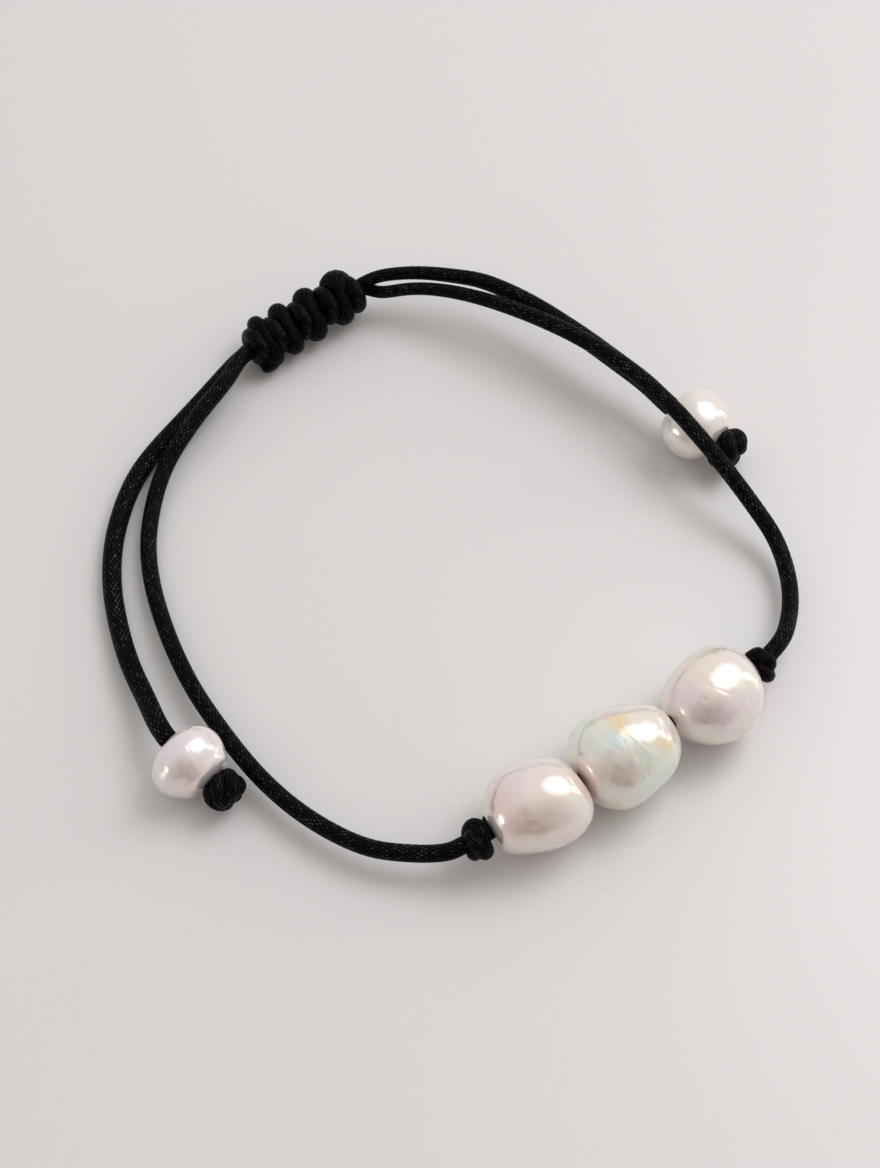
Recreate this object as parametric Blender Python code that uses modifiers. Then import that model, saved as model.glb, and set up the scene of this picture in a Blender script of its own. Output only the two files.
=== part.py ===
"""Pearl bracelet: three baroque pearls on a black cord, closed by a sliding knot.

The bracelet lies on the plane z = 0. The origin is the middle of the wrist hollow on that plane,
+Y points from the row of pearls towards the sliding knot, and +Z is up. Lengths below are in
millimetres where they are multiplied by MM, and Blender gets metres.
"""
import math

import bmesh
import bpy
import numpy as np
from mathutils import Quaternion, Vector

MM = 0.001

# Clearances
GAP = 0.3 * MM
REST_HEIGHT = 0.05 * MM

# Cord
CORD_DIAMETER = 1.5 * MM
THREAD_DIAMETER = 1.25 * MM
SQUEEZED_DIAMETER = 1.0 * MM
LEFT_TAIL_DIAMETER = 1.85 * MM
RIGHT_TAIL_DIAMETER = 1.95 * MM
THREAD_STRAIGHT = 0.9 * MM
CORD_STEP = 3.6 * MM
TIP_STEP = 0.1 * MM
SQUEEZE_RUN = 1.4 * MM
TAIL_SWELL_RUN = 9.0 * MM
NEARNESS_SAMPLES = 600

# Large pearls, in the order of the row from the left
PEARL_LEFT_LENGTH = 9.1 * MM
PEARL_LEFT_DIAMETER = 9.0 * MM
PEARL_CENTRE_LENGTH = 9.8 * MM
PEARL_CENTRE_DIAMETER = 9.8 * MM
PEARL_RIGHT_LENGTH = 9.2 * MM
PEARL_RIGHT_DIAMETER = 9.2 * MM

# The row of pearls: where the left and centre pearls meet, and the way each pearl points in plan
ROW_MEETING_X = 10.5 * MM
ROW_MEETING_Y = -25.2 * MM
PEARL_LEFT_HEADING = math.radians(30)
PEARL_CENTRE_HEADING = math.radians(33.5)
PEARL_RIGHT_HEADING = math.radians(37)

# Small pearls on the tails
TAIL_PEARL_LEFT_LENGTH = 5.5 * MM
TAIL_PEARL_LEFT_DIAMETER = 6.9 * MM
TAIL_PEARL_RIGHT_LENGTH = 5.5 * MM
TAIL_PEARL_RIGHT_DIAMETER = 6.8 * MM
TAIL_PEARL_LEFT_X = -24.9 * MM
TAIL_PEARL_LEFT_Y = -22.6 * MM
TAIL_PEARL_LEFT_HEADING = math.radians(-44)
TAIL_PEARL_RIGHT_X = 23.6 * MM
TAIL_PEARL_RIGHT_Y = 14.4 * MM
TAIL_PEARL_RIGHT_HEADING = math.radians(-39)
TAIL_PEARL_DIP = math.radians(8)

# Knots
STOPPER_WIDTH = 4.0 * MM
STOPPER_LENGTH = 2.5 * MM
STOPPER_TILT = math.radians(13)
KNOT_LEFT_HEADING = math.radians(195)
KNOT_RIGHT_HEADING = math.radians(37)
END_KNOT_WIDTH = 3.9 * MM
END_KNOT_LENGTH = 2.9 * MM
END_KNOT_TILT = math.radians(24)
KNOT_CORD_DIAMETER = 1.35 * MM
KNOT_TURN_SEGMENTS = 16
KNOT_TURN_SIDES = 8
KNOT_TURN_SPIN = math.radians(7)
KNOT_CORD_POINTS = 5

# Sliding knot: a row of turns round the strands. Wide turns bulge at its two sides, and narrow
# turns cross its face. Each turn has its place along the knot in millimetres and its lean.
SLIDING_KNOT_X = -21.56 * MM
SLIDING_KNOT_Y = 24.32 * MM
SLIDING_KNOT_LENGTH = 13.2 * MM
SLIDING_KNOT_RADIUS = 2.45 * MM
SLIDING_KNOT_SIDE = 2.85 * MM
WAY_SHARES = (0.0, 0.12, 0.5, 0.88, 1.0)
SLIDING_KNOT_HEADING = math.radians(35)
SLIDING_KNOT_RISE = math.radians(3.3)
SLEEVE_WALL = 0.3 * MM
WIDE_TURN_CORD = 1.9 * MM
NARROW_TURN_CORD = 1.5 * MM
WIDE_TURNS = ((1.95, 0.0), (4.45, 4.0), (7.5, 10.0), (10.85, 14.0))
NARROW_TURNS = ((0.77, 0.0), (2.97, 0.0), (6.15, 2.0), (9.35, 4.0), (12.4, 0.0))
WIDE_TURN_SHAPE = (1.0, 0.84, 1.0)
NARROW_TURN_SHAPE = (0.82, 1.0, 1.0)
FACE_ANGLE = math.radians(26.5)
STACK_ANGLE = math.radians(116.5)
CUT_END_REACH = 2.95 * MM
CUT_END_PLACE = 1.05 * MM

# Profiles of the pearls: share of the length, share of the radius
DROP_PROFILE = (
    (0.0, 0.27), (0.03, 0.43), (0.1, 0.64), (0.22, 0.83), (0.36, 0.95), (0.52, 1.0),
    (0.67, 0.99), (0.8, 0.92), (0.9, 0.79), (0.97, 0.59), (1.0, 0.4),
)
EGG_PROFILE = (
    (0.0, 0.34), (0.03, 0.5), (0.1, 0.71), (0.22, 0.9), (0.38, 0.99), (0.52, 1.0),
    (0.66, 0.95), (0.79, 0.84), (0.9, 0.64), (0.97, 0.43), (1.0, 0.27),
)
ROUND_PROFILE = (
    (0.0, 0.27), (0.03, 0.43), (0.1, 0.65), (0.22, 0.86), (0.36, 0.97), (0.5, 1.0),
    (0.64, 0.97), (0.78, 0.87), (0.9, 0.68), (0.97, 0.47), (1.0, 0.31),
)
OVAL_PROFILE = (
    (0.0, 0.34), (0.03, 0.49), (0.1, 0.69), (0.22, 0.88), (0.36, 0.97), (0.5, 1.0),
    (0.64, 0.97), (0.78, 0.88), (0.9, 0.69), (0.97, 0.49), (1.0, 0.34),
)
BUTTON_PROFILE = (
    (0.0, 0.34), (0.03, 0.5), (0.1, 0.72), (0.22, 0.91), (0.36, 0.99), (0.48, 1.0),
    (0.62, 0.94), (0.7, 0.86), (0.78, 0.84), (0.87, 0.83), (0.95, 0.7), (1.0, 0.45),
)
PEARL_SEGMENTS = 20
CYLINDER_SIDES = 20

# Free stretches of the cords, in millimetres, along their middle
LEFT_LOOP_ROUTE = (
    (-0.7, -31.5, 3.9), (-2.4, -31.7, 3.5), (-5.1, -31.5, 3.1), (-7.8, -31.0, 2.8),
    (-11.2, -29.5, 2.5), (-14.4, -27.4, 2.35), (-17.3, -24.9, 2.3), (-20.0, -21.9, 2.25),
    (-22.45, -18.6, 2.15), (-24.75, -15.1, 1.95), (-26.8, -11.2, 1.7), (-28.5, -7.1, 1.45),
    (-29.9, -2.6, 1.2), (-30.6, 1.9, 1.1), (-30.4, 6.4, 1.25), (-29.1, 11.2, 1.95),
    (-27.7, 13.7, 2.6), (-25.6, 17.0, 3.15), (-23.6, 20.1, 3.4),
)
RIGHT_TAIL_ROUTE = (
    (-8.4, 32.1, 4.8), (-6.7, 32.3, 5.0), (-5.0, 32.35, 5.1), (-3.0, 32.2, 5.2),
    (-0.4, 31.8, 5.25), (2.1, 31.2, 5.3), (4.7, 30.0, 5.25), (7.4, 28.3, 5.15),
    (10.3, 26.1, 5.0), (13.3, 23.6, 4.9), (16.2, 21.1, 4.65), (19.0, 18.7, 4.2),
)
RIGHT_LOOP_ROUTE = (
    (30.0, -10.4, 3.8), (30.95, -8.2, 3.1), (31.5, -5.8, 2.55), (31.65, -3.3, 2.25),
    (31.3, -0.6, 2.35), (30.35, 2.0, 2.9), (29.05, 3.9, 3.7), (27.65, 5.6, 4.65),
    (26.15, 7.4, 5.55), (24.55, 9.4, 6.3), (22.95, 11.5, 6.7), (21.5, 13.5, 6.85),
    (19.6, 15.8, 6.9), (17.2, 18.5, 6.9), (14.4, 21.0, 6.8), (11.5, 23.2, 6.7),
    (8.4, 25.2, 6.5), (5.25, 27.0, 6.15), (2.1, 28.6, 5.7), (-1.0, 29.85, 5.2),
    (-3.7, 30.55, 4.75), (-6.2, 30.85, 4.15), (-8.2, 30.95, 3.7),
)
LEFT_TAIL_ROUTE = (
    (-24.0, 21.6, 2.1), (-26.1, 18.7, 1.8), (-28.2, 15.9, 1.55), (-30.3, 13.1, 1.35),
    (-32.0, 10.3, 1.2), (-33.4, 6.1, 1.1), (-34.0, 1.5, 1.1), (-33.75, -3.0, 1.1),
    (-32.75, -7.5, 1.3), (-31.2, -12.0, 1.75), (-29.25, -16.2, 2.6),
)

# Colours: linear red, green, blue
CORD_COLOUR = (0.012, 0.012, 0.013)
PINK_PEARL_COLOUR = (0.80, 0.71, 0.67)
SILVER_PEARL_COLOUR = (0.62, 0.61, 0.56)
CREAM_PEARL_COLOUR = (0.82, 0.75, 0.68)
LILAC_PEARL_COLOUR = (0.78, 0.70, 0.70)


def clear_scene():
    """Remove every object that the new scene starts with."""
    for old in list(bpy.data.objects):
        bpy.data.objects.remove(old, do_unlink=True)


def new_collection(name):
    """Make a collection and link it to the scene."""
    collection = bpy.data.collections.new(name)
    bpy.context.scene.collection.children.link(collection)
    return collection


def principled(name, colour, roughness, coat=0.0):
    """Make a Principled material."""
    material = bpy.data.materials.new(name)
    material.use_nodes = True
    shader = material.node_tree.nodes["Principled BSDF"]
    shader.inputs["Base Color"].default_value = (*colour, 1.0)
    shader.inputs["Roughness"].default_value = roughness
    shader.inputs["Coat Weight"].default_value = coat
    return material


def in_metres(point):
    """Turn a point in millimetres into a vector in metres."""
    return Vector(point) * MM


def frame_along(direction):
    """Rotation that turns +Z to a direction."""
    return direction.to_track_quat("Z", "Y")


def smooth_curve(points):
    """Natural cubic spline through points: returns its length parameters and an evaluator."""
    knots = np.array([tuple(p) for p in points])
    spans = np.linalg.norm(np.diff(knots, axis=0), axis=1)
    stations = np.concatenate([[0.0], np.cumsum(spans)])
    count = len(knots)
    system = np.eye(count)
    target = np.zeros((count, 3))
    for i in range(1, count - 1):
        system[i, i - 1:i + 2] = (spans[i - 1], 2.0 * (spans[i - 1] + spans[i]), spans[i])
        slope_after = (knots[i + 1] - knots[i]) / spans[i]
        slope_before = (knots[i] - knots[i - 1]) / spans[i - 1]
        target[i] = 6.0 * (slope_after - slope_before)
    bends = np.linalg.solve(system, target)

    def at(where):
        where = np.clip(np.asarray(where), 0.0, stations[-1])
        i = np.clip(np.searchsorted(stations, where, side="right") - 1, 0, count - 2)
        span = spans[i][:, None]
        left = (stations[i + 1] - where)[:, None]
        right = (where - stations[i])[:, None]
        cubic = (bends[i] * left ** 3 + bends[i + 1] * right ** 3) / (6.0 * span)
        start = (knots[i] / span - bends[i] * span / 6.0) * left
        end = (knots[i + 1] / span - bends[i + 1] * span / 6.0) * right
        return cubic + start + end

    return stations, at


def tube(name, points, radii, collection, material=None):
    """Cord or wire: a curve object through points, with a radius at each point."""
    data = bpy.data.curves.new(name, "CURVE")
    data.dimensions = "3D"
    data.bevel_depth = 1.0
    data.bevel_resolution = 2
    data.use_fill_caps = True
    data.twist_mode = "MINIMUM"
    spline = data.splines.new("POLY")
    spline.points.add(len(points) - 1)
    for target, point, radius in zip(spline.points, points, radii):
        target.co = (*point, 1.0)
        target.radius = radius
    obj = bpy.data.objects.new(name, data)
    collection.objects.link(obj)
    if material:
        data.materials.append(material)
    return obj


def curve_to_mesh(obj):
    """Replace a curve object by a mesh object whose caps are welded on."""
    bpy.context.view_layer.update()
    evaluated = obj.evaluated_get(bpy.context.evaluated_depsgraph_get())
    mesh = bpy.data.meshes.new_from_object(evaluated)
    shape = bmesh.new()
    shape.from_mesh(mesh)
    bmesh.ops.remove_doubles(shape, verts=shape.verts, dist=1e-6)
    shape.to_mesh(mesh)
    shape.free()
    name = obj.name
    solid = bpy.data.objects.new(name, mesh)
    solid.matrix_world = obj.matrix_world
    obj.users_collection[0].objects.link(solid)
    bpy.data.objects.remove(obj)
    solid.name = name
    return solid


def as_cutter(obj):
    """Mark an object as a helper that is never part of the model."""
    obj.hide_render = True
    obj.display_type = "WIRE"
    return obj


def combine(target, tool, operation):
    """Join a tool to a target, or cut it out, with a Boolean modifier."""
    boolean = target.modifiers.new(tool.name, "BOOLEAN")
    boolean.operation = operation
    boolean.solver = "EXACT"
    boolean.object = as_cutter(tool)


def heading(plan_angle, rise=0.0):
    """Unit direction from its angle in plan and its rise above the horizontal."""
    flat = math.cos(rise)
    return Vector((flat * math.cos(plan_angle), flat * math.sin(plan_angle), math.sin(rise)))


class Pearl:
    """Place and size of a drilled pearl: its hole runs from start to end."""

    def __init__(self, start, direction, length, diameter, profile):
        self.start = start
        self.direction = direction
        self.length = length
        self.radius = diameter / 2
        self.profile = profile
        self.end = start + direction * length
        self.centre = start + direction * (length / 2)


def rising_pearl(start, plan_angle, length, diameter, profile, backwards=False):
    """Pearl that starts at a point in the air and rests on the plane at its middle."""
    rise = math.asin((diameter / 2 - start.z) / (length / 2))
    direction = heading(plan_angle, -rise if backwards else rise)
    if backwards:
        start = start - direction * length
    return Pearl(start, direction, length, diameter, profile)


def resting_pearl(x, y, plan_angle, length, diameter, profile):
    """Pearl that rests on the plane, its hole dipping away from the tail."""
    direction = heading(plan_angle, -TAIL_PEARL_DIP)
    centre = Vector((x, y, diameter / 2))
    return Pearl(centre - direction * (length / 2), direction, length, diameter, profile)


def lay_out_row():
    """Places of the three large pearls, end to end with a gap between them."""
    meeting_height = (PEARL_LEFT_DIAMETER + PEARL_CENTRE_DIAMETER) / 4
    meeting = Vector((ROW_MEETING_X, ROW_MEETING_Y, meeting_height))
    toward_left = heading(PEARL_LEFT_HEADING)
    toward_right = heading(PEARL_CENTRE_HEADING)
    left = rising_pearl(
        meeting - toward_left * GAP / 2, PEARL_LEFT_HEADING,
        PEARL_LEFT_LENGTH, PEARL_LEFT_DIAMETER, DROP_PROFILE, backwards=True)
    centre = rising_pearl(
        meeting + toward_right * GAP / 2, PEARL_CENTRE_HEADING,
        PEARL_CENTRE_LENGTH, PEARL_CENTRE_DIAMETER, EGG_PROFILE)
    right = rising_pearl(
        centre.end + heading(PEARL_RIGHT_HEADING) * GAP, PEARL_RIGHT_HEADING,
        PEARL_RIGHT_LENGTH, PEARL_RIGHT_DIAMETER, ROUND_PROFILE)
    return left, centre, right


def make_pearl(name, pearl, material, collection):
    """Turned pearl with a hole along its axis."""
    bore = THREAD_DIAMETER / 2 + GAP
    outline = [(share * pearl.length, radius * pearl.radius) for share, radius in pearl.profile]
    loop = [(radius, along) for along, radius in reversed(outline)]
    loop += [(bore, 0.0), (bore, pearl.length / 2), (bore, pearl.length)]
    mesh = bpy.data.meshes.new(name)
    shape = bmesh.new()
    verts = [shape.verts.new((across, 0.0, along)) for across, along in loop]
    for i, vert in enumerate(verts):
        shape.edges.new((vert, verts[(i + 1) % len(verts)]))
    shape.to_mesh(mesh)
    shape.free()
    mesh.materials.append(material)
    obj = bpy.data.objects.new(name, mesh)
    collection.objects.link(obj)
    screw = obj.modifiers.new("turn", "SCREW")
    screw.axis = "Z"
    screw.steps = PEARL_SEGMENTS
    screw.render_steps = PEARL_SEGMENTS
    screw.use_merge_vertices = True
    screw.merge_threshold = 0.00001
    screw.use_smooth_shade = True
    obj.location = pearl.start
    obj.rotation_mode = "QUATERNION"
    obj.rotation_quaternion = frame_along(pearl.direction)
    return obj


def make_front_cord(pearls, material, collection):
    """Thread through the three large pearls, bending only between them."""
    left, centre, right = pearls
    straight = THREAD_STRAIGHT
    points = [
        left.start,
        left.centre,
        left.end - left.direction * straight,
        centre.start + centre.direction * straight,
        centre.centre,
        centre.end - centre.direction * straight,
        right.start + right.direction * straight,
        right.centre,
        right.end,
    ]
    radii = [THREAD_DIAMETER / 2] * len(points)
    return tube("front_cord", points, radii, collection, material)


class Knot:
    """Place of a knot: its middle, its two ends and the way it points."""

    def __init__(self, pearl_face, toward_knot, length, outward, axis):
        self.near = pearl_face + toward_knot * GAP
        self.middle = self.near + toward_knot * (length / 2)
        self.axis = axis
        self.far = self.middle + outward * (length / 2 + GAP)
        self.outward = outward


def ring(name, middle, turn, width, cord_width, collection):
    """One turn of a knot's cord: a torus round a middle, turned to its place."""
    bpy.ops.mesh.primitive_torus_add(
        major_segments=KNOT_TURN_SEGMENTS, minor_segments=KNOT_TURN_SIDES,
        major_radius=(width - cord_width) / 2, minor_radius=cord_width / 2)
    obj = bpy.context.active_object
    obj.name = name
    for owner in list(obj.users_collection):
        owner.objects.unlink(obj)
    collection.objects.link(obj)
    obj.location = middle
    obj.rotation_mode = "QUATERNION"
    obj.rotation_quaternion = turn
    return obj


def make_knot(name, knot, width, turns, ends, radius, material, collection, cutters):
    """Knot: the cord that runs through it, joined with its turns."""
    shares = [i / (KNOT_CORD_POINTS - 1) for i in range(KNOT_CORD_POINTS)]
    points = [knot.near.lerp(knot.middle, share) for share in shares]
    if ends == 2:
        points += [knot.middle.lerp(knot.far, share) for share in shares[1:]]
    body = curve_to_mesh(tube(name, points, [radius] * len(points), collection, material))
    for i, (shift, tilt) in enumerate(turns):
        leaning = Quaternion((0, 1, 0), tilt) @ Quaternion((0, 0, 1), i * KNOT_TURN_SPIN)
        place = frame_along(knot.axis) @ leaning
        turn = ring(f"{name}_turn_{i + 1}", knot.middle + knot.axis * shift, place,
                    width, KNOT_CORD_DIAMETER, cutters)
        combine(body, turn, "UNION")
    return body


def stopper_turns():
    """Shift and tilt of the two crossing turns of a stopper knot."""
    lever = (STOPPER_WIDTH - KNOT_CORD_DIAMETER) / 2 * math.sin(STOPPER_TILT)
    shift = (STOPPER_LENGTH - KNOT_CORD_DIAMETER) / 2 - lever
    return ((-shift, STOPPER_TILT), (shift, -STOPPER_TILT))


def end_knot_turns():
    """Shift and tilt of the three turns of an end knot."""
    lever = (END_KNOT_WIDTH - KNOT_CORD_DIAMETER) / 2 * math.sin(END_KNOT_TILT / 2)
    shift = (END_KNOT_LENGTH - KNOT_CORD_DIAMETER) / 2 - lever
    return ((-shift, END_KNOT_TILT / 2), (0.0, -END_KNOT_TILT), (shift, END_KNOT_TILT / 2))


class SlidingKnot:
    """Place of the sliding knot: its axis, its channel and the two strands' ways through."""

    def __init__(self):
        self.stack = SQUEEZED_DIAMETER + GAP
        self.channel = self.stack / 2 + SQUEEZED_DIAMETER / 2 + GAP
        self.direction = heading(SLIDING_KNOT_HEADING, SLIDING_KNOT_RISE)
        self.start = Vector((SLIDING_KNOT_X, SLIDING_KNOT_Y, SLIDING_KNOT_RADIUS + REST_HEIGHT))
        self.turn = frame_along(self.direction)

    def place(self, across, angle, along):
        """Point at a distance from the axis, at an angle round it and a length along it."""
        local = Vector((across * math.cos(angle), across * math.sin(angle), along))
        return self.start + self.turn @ local

    def way_through(self, side):
        """Points of one strand's way through, on one side of the axis."""
        across = side * self.stack / 2
        return [self.place(across, STACK_ANGLE, share * SLIDING_KNOT_LENGTH)
                for share in WAY_SHARES]


def cylinder(name, radius, start, direction, length, collection):
    """Closed cylinder from a point along a direction."""
    bpy.ops.mesh.primitive_cylinder_add(vertices=CYLINDER_SIDES, radius=radius, depth=length)
    obj = bpy.context.active_object
    obj.name = name
    for owner in list(obj.users_collection):
        owner.objects.unlink(obj)
    collection.objects.link(obj)
    obj.location = start + direction * (length / 2)
    obj.rotation_mode = "QUATERNION"
    obj.rotation_quaternion = frame_along(direction)
    return obj


def add_turns(body, knot, kind, turns, reach, cord_width, shape, cutters):
    """Join a row of leaning turns to the sliding knot."""
    for i, (along, lean) in enumerate(turns):
        leaning = Quaternion((0, 0, 1), FACE_ANGLE) @ Quaternion((0, 1, 0), -math.radians(lean))
        turn = ring(f"{kind}_turn_{i + 1}", knot.place(0.0, 0.0, along * MM),
                    knot.turn @ leaning, 2 * reach, cord_width, cutters)
        turn.scale = shape
        combine(body, turn, "UNION")


def make_sliding_knot(knot, material, collection, cutters):
    """Sliding knot: a sleeve with its turns of cord, a cut end and a channel through it."""
    inset = NARROW_TURN_CORD / 2
    sleeve = cylinder(
        "sliding_knot", knot.channel + SLEEVE_WALL, knot.start + knot.direction * inset,
        knot.direction, SLIDING_KNOT_LENGTH - 2 * inset, collection)
    sleeve.data.materials.append(material)
    add_turns(sleeve, knot, "wide", WIDE_TURNS, SLIDING_KNOT_SIDE,
              WIDE_TURN_CORD, WIDE_TURN_SHAPE, cutters)
    add_turns(sleeve, knot, "narrow", NARROW_TURNS, SLIDING_KNOT_RADIUS,
              NARROW_TURN_CORD, NARROW_TURN_SHAPE, cutters)
    down = FACE_ANGLE + math.pi
    reaches = (knot.channel, (knot.channel + CUT_END_REACH) / 2, CUT_END_REACH)
    cut_end = tube(
        "cut_end", [knot.place(reach, down, CUT_END_PLACE) for reach in reaches],
        [CORD_DIAMETER / 2] * len(reaches), cutters)
    combine(sleeve, curve_to_mesh(cut_end), "UNION")
    overrun = inset
    channel = cylinder(
        "channel", knot.channel, knot.start - knot.direction * overrun,
        knot.direction, SLIDING_KNOT_LENGTH + 2 * overrun, cutters)
    combine(sleeve, channel, "DIFFERENCE")
    return sleeve


class Strand:
    """A cord from its stopper knot round the loop, through the sliding knot to its tail's pearl."""

    def __init__(self, knot, loop_route, way_through, tail_route, pearl, tail_diameter):
        first = knot.far + knot.outward * GAP
        loop = [in_metres(p) for p in loop_route]
        tail = [in_metres(p) for p in tail_route]
        pearl_face = pearl.start - pearl.direction * GAP
        points = [first, *loop, *way_through, *tail, pearl_face, pearl.centre, pearl.end]
        lengths, self.at = smooth_curve(points)
        self.mouth_in = lengths[len(loop) + 1]
        self.mouth_out = lengths[len(loop) + len(way_through)]
        self.face = lengths[-3]
        self.length = lengths[-1]
        self.tail_radius = tail_diameter / 2

    def stations(self):
        """Lengths along the cord where its tube has a point."""
        squeeze_start = self.mouth_in - SQUEEZE_RUN
        squeeze_end = self.mouth_out + SQUEEZE_RUN
        stretches = (
            (0.0, squeeze_start), (squeeze_start, self.mouth_in),
            (self.mouth_in, self.mouth_out), (self.mouth_out, squeeze_end),
            (squeeze_end, self.face), (self.face + TIP_STEP, self.length),
        )
        places = []
        for start, end in stretches:
            count = max(1, round((end - start) / CORD_STEP))
            places += [start + (end - start) * i / count for i in range(count)]
            if end == self.face:
                places.append(end)
        return np.array(places + [self.length])

    def radius(self, place):
        """Radius of the cord lying free, at a length along it."""
        lengths = (
            0.0, self.mouth_in - SQUEEZE_RUN, self.mouth_in, self.mouth_out,
            self.mouth_out + SQUEEZE_RUN, self.mouth_out + TAIL_SWELL_RUN,
            self.face, self.face + TIP_STEP, self.length,
        )
        radii = (
            CORD_DIAMETER / 2, CORD_DIAMETER / 2, SQUEEZED_DIAMETER / 2, SQUEEZED_DIAMETER / 2,
            CORD_DIAMETER / 2, self.tail_radius,
            self.tail_radius, THREAD_DIAMETER / 2, THREAD_DIAMETER / 2,
        )
        return np.interp(place, lengths, radii)


def squeezed_radii(strand, other):
    """Radii of a strand's stations, pressed thinner where it lies against the other strand."""
    stations = strand.stations()
    points = strand.at(stations)
    along = np.linspace(0.0, other.length, NEARNESS_SAMPLES)
    line = other.at(along)
    distances = np.linalg.norm(points[:, None, :] - line[None, :, :], axis=2)
    nearest = distances.argmin(axis=1)
    room = distances.min(axis=1) - GAP
    own = strand.radius(stations)
    theirs = other.radius(along[nearest])
    return np.minimum(own, room * own / (own + theirs))


def make_strand(name, strand, other, material, collection):
    """One strand as a tube along its route."""
    points = [Vector(p) for p in strand.at(strand.stations())]
    return tube(name, points, squeezed_radii(strand, other), collection, material)


def build():
    """Model the whole bracelet."""
    clear_scene()
    bracelet = new_collection("pearl_bracelet")
    cutters = new_collection("cutters")

    cord = principled("cord", CORD_COLOUR, 0.5)
    pink = principled("pearl_pink", PINK_PEARL_COLOUR, 0.18, coat=0.4)
    silver = principled("pearl_silver", SILVER_PEARL_COLOUR, 0.15, coat=0.4)
    cream = principled("pearl_cream", CREAM_PEARL_COLOUR, 0.18, coat=0.4)
    lilac = principled("pearl_lilac", LILAC_PEARL_COLOUR, 0.18, coat=0.4)
    small_cream = principled("pearl_small_cream", CREAM_PEARL_COLOUR, 0.18, coat=0.4)
    cords = {}
    for name in ("front_cord", "knot_left", "knot_right", "sliding_knot", "left_strand",
                 "right_strand", "end_knot_left", "end_knot_right"):
        cords[name] = cord.copy()
        cords[name].name = name

    row = lay_out_row()
    make_pearl("pearl_left", row[0], pink, bracelet)
    make_pearl("pearl_centre", row[1], silver, bracelet)
    make_pearl("pearl_right", row[2], cream, bracelet)
    make_front_cord(row, cords["front_cord"], bracelet)

    tail_left = resting_pearl(
        TAIL_PEARL_LEFT_X, TAIL_PEARL_LEFT_Y, TAIL_PEARL_LEFT_HEADING,
        TAIL_PEARL_LEFT_LENGTH, TAIL_PEARL_LEFT_DIAMETER, BUTTON_PROFILE)
    tail_right = resting_pearl(
        TAIL_PEARL_RIGHT_X, TAIL_PEARL_RIGHT_Y, TAIL_PEARL_RIGHT_HEADING,
        TAIL_PEARL_RIGHT_LENGTH, TAIL_PEARL_RIGHT_DIAMETER, OVAL_PROFILE)
    make_pearl("tail_pearl_left", tail_left, lilac, bracelet)
    make_pearl("tail_pearl_right", tail_right, small_cream, bracelet)

    left_start = row[0].start
    right_start = row[2].end
    left_out = (in_metres(LEFT_LOOP_ROUTE[0]) - left_start).normalized()
    right_out = (in_metres(RIGHT_LOOP_ROUTE[0]) - right_start).normalized()
    knot_left = Knot(
        left_start, -row[0].direction, STOPPER_LENGTH, left_out, heading(KNOT_LEFT_HEADING))
    knot_right = Knot(
        right_start, row[2].direction, STOPPER_LENGTH, right_out, heading(KNOT_RIGHT_HEADING))
    for name, knot in (("knot_left", knot_left), ("knot_right", knot_right)):
        make_knot(name, knot, STOPPER_WIDTH, stopper_turns(), 2, THREAD_DIAMETER / 2,
                  cords[name], bracelet, cutters)
    for name, pearl in (("end_knot_left", tail_left), ("end_knot_right", tail_right)):
        way = pearl.direction
        knot = Knot(pearl.end, way, END_KNOT_LENGTH, way, way)
        make_knot(name, knot, END_KNOT_WIDTH, end_knot_turns(), 1, THREAD_DIAMETER / 2,
                  cords[name], bracelet, cutters)

    sliding = SlidingKnot()
    make_sliding_knot(sliding, cords["sliding_knot"], bracelet, cutters)

    left = Strand(knot_left, LEFT_LOOP_ROUTE, sliding.way_through(1), RIGHT_TAIL_ROUTE,
                  tail_right, RIGHT_TAIL_DIAMETER)
    right = Strand(knot_right, RIGHT_LOOP_ROUTE, sliding.way_through(-1)[::-1], LEFT_TAIL_ROUTE,
                   tail_left, LEFT_TAIL_DIAMETER)
    make_strand("left_strand", left, right, cords["left_strand"], bracelet)
    make_strand("right_strand", right, left, cords["right_strand"], bracelet)


build()
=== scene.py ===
"""Visual model of the pearl bracelet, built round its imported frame.

Places and sizes are in millimetres where they are multiplied by MM, and Blender gets metres.
The routes of the two strands repeat those of the part's source.
"""

import math

import bpy
import numpy as np
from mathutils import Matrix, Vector, noise


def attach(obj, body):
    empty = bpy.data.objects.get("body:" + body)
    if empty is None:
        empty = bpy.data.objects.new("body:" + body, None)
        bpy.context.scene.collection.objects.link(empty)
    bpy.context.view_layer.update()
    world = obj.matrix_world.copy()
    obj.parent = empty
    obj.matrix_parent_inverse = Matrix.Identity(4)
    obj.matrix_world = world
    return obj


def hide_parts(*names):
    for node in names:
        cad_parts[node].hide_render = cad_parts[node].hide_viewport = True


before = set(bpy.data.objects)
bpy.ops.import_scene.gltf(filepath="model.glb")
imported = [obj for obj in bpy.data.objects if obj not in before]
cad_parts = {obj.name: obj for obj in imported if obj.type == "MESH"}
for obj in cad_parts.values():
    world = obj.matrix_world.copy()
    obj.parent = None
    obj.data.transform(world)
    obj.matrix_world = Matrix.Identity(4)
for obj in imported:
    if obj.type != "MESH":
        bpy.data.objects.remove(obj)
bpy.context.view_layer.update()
MM = 0.001

# Camera, and the ways that are up and toward the viewer in its picture
LOOK_AT = (-2.0, -2.0, 0.0)
CAMERA_DISTANCE = 202.1
CAMERA_ELEVATION = math.radians(60)
LENS = 63.8
VIEW_UP = np.array((0.0, math.sin(CAMERA_ELEVATION), math.cos(CAMERA_ELEVATION)))
VIEW_FRONT = np.array((0.0, -math.cos(CAMERA_ELEVATION), math.sin(CAMERA_ELEVATION)))

# Cord: in the open, as a thread in a pearl, and pressed in the sliding knot
CORD_RADIUS = 0.8
CORE_RADIUS = 0.6
INNER_RADIUS = 0.55
SQUEEZE_RUN = 1.4

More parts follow.
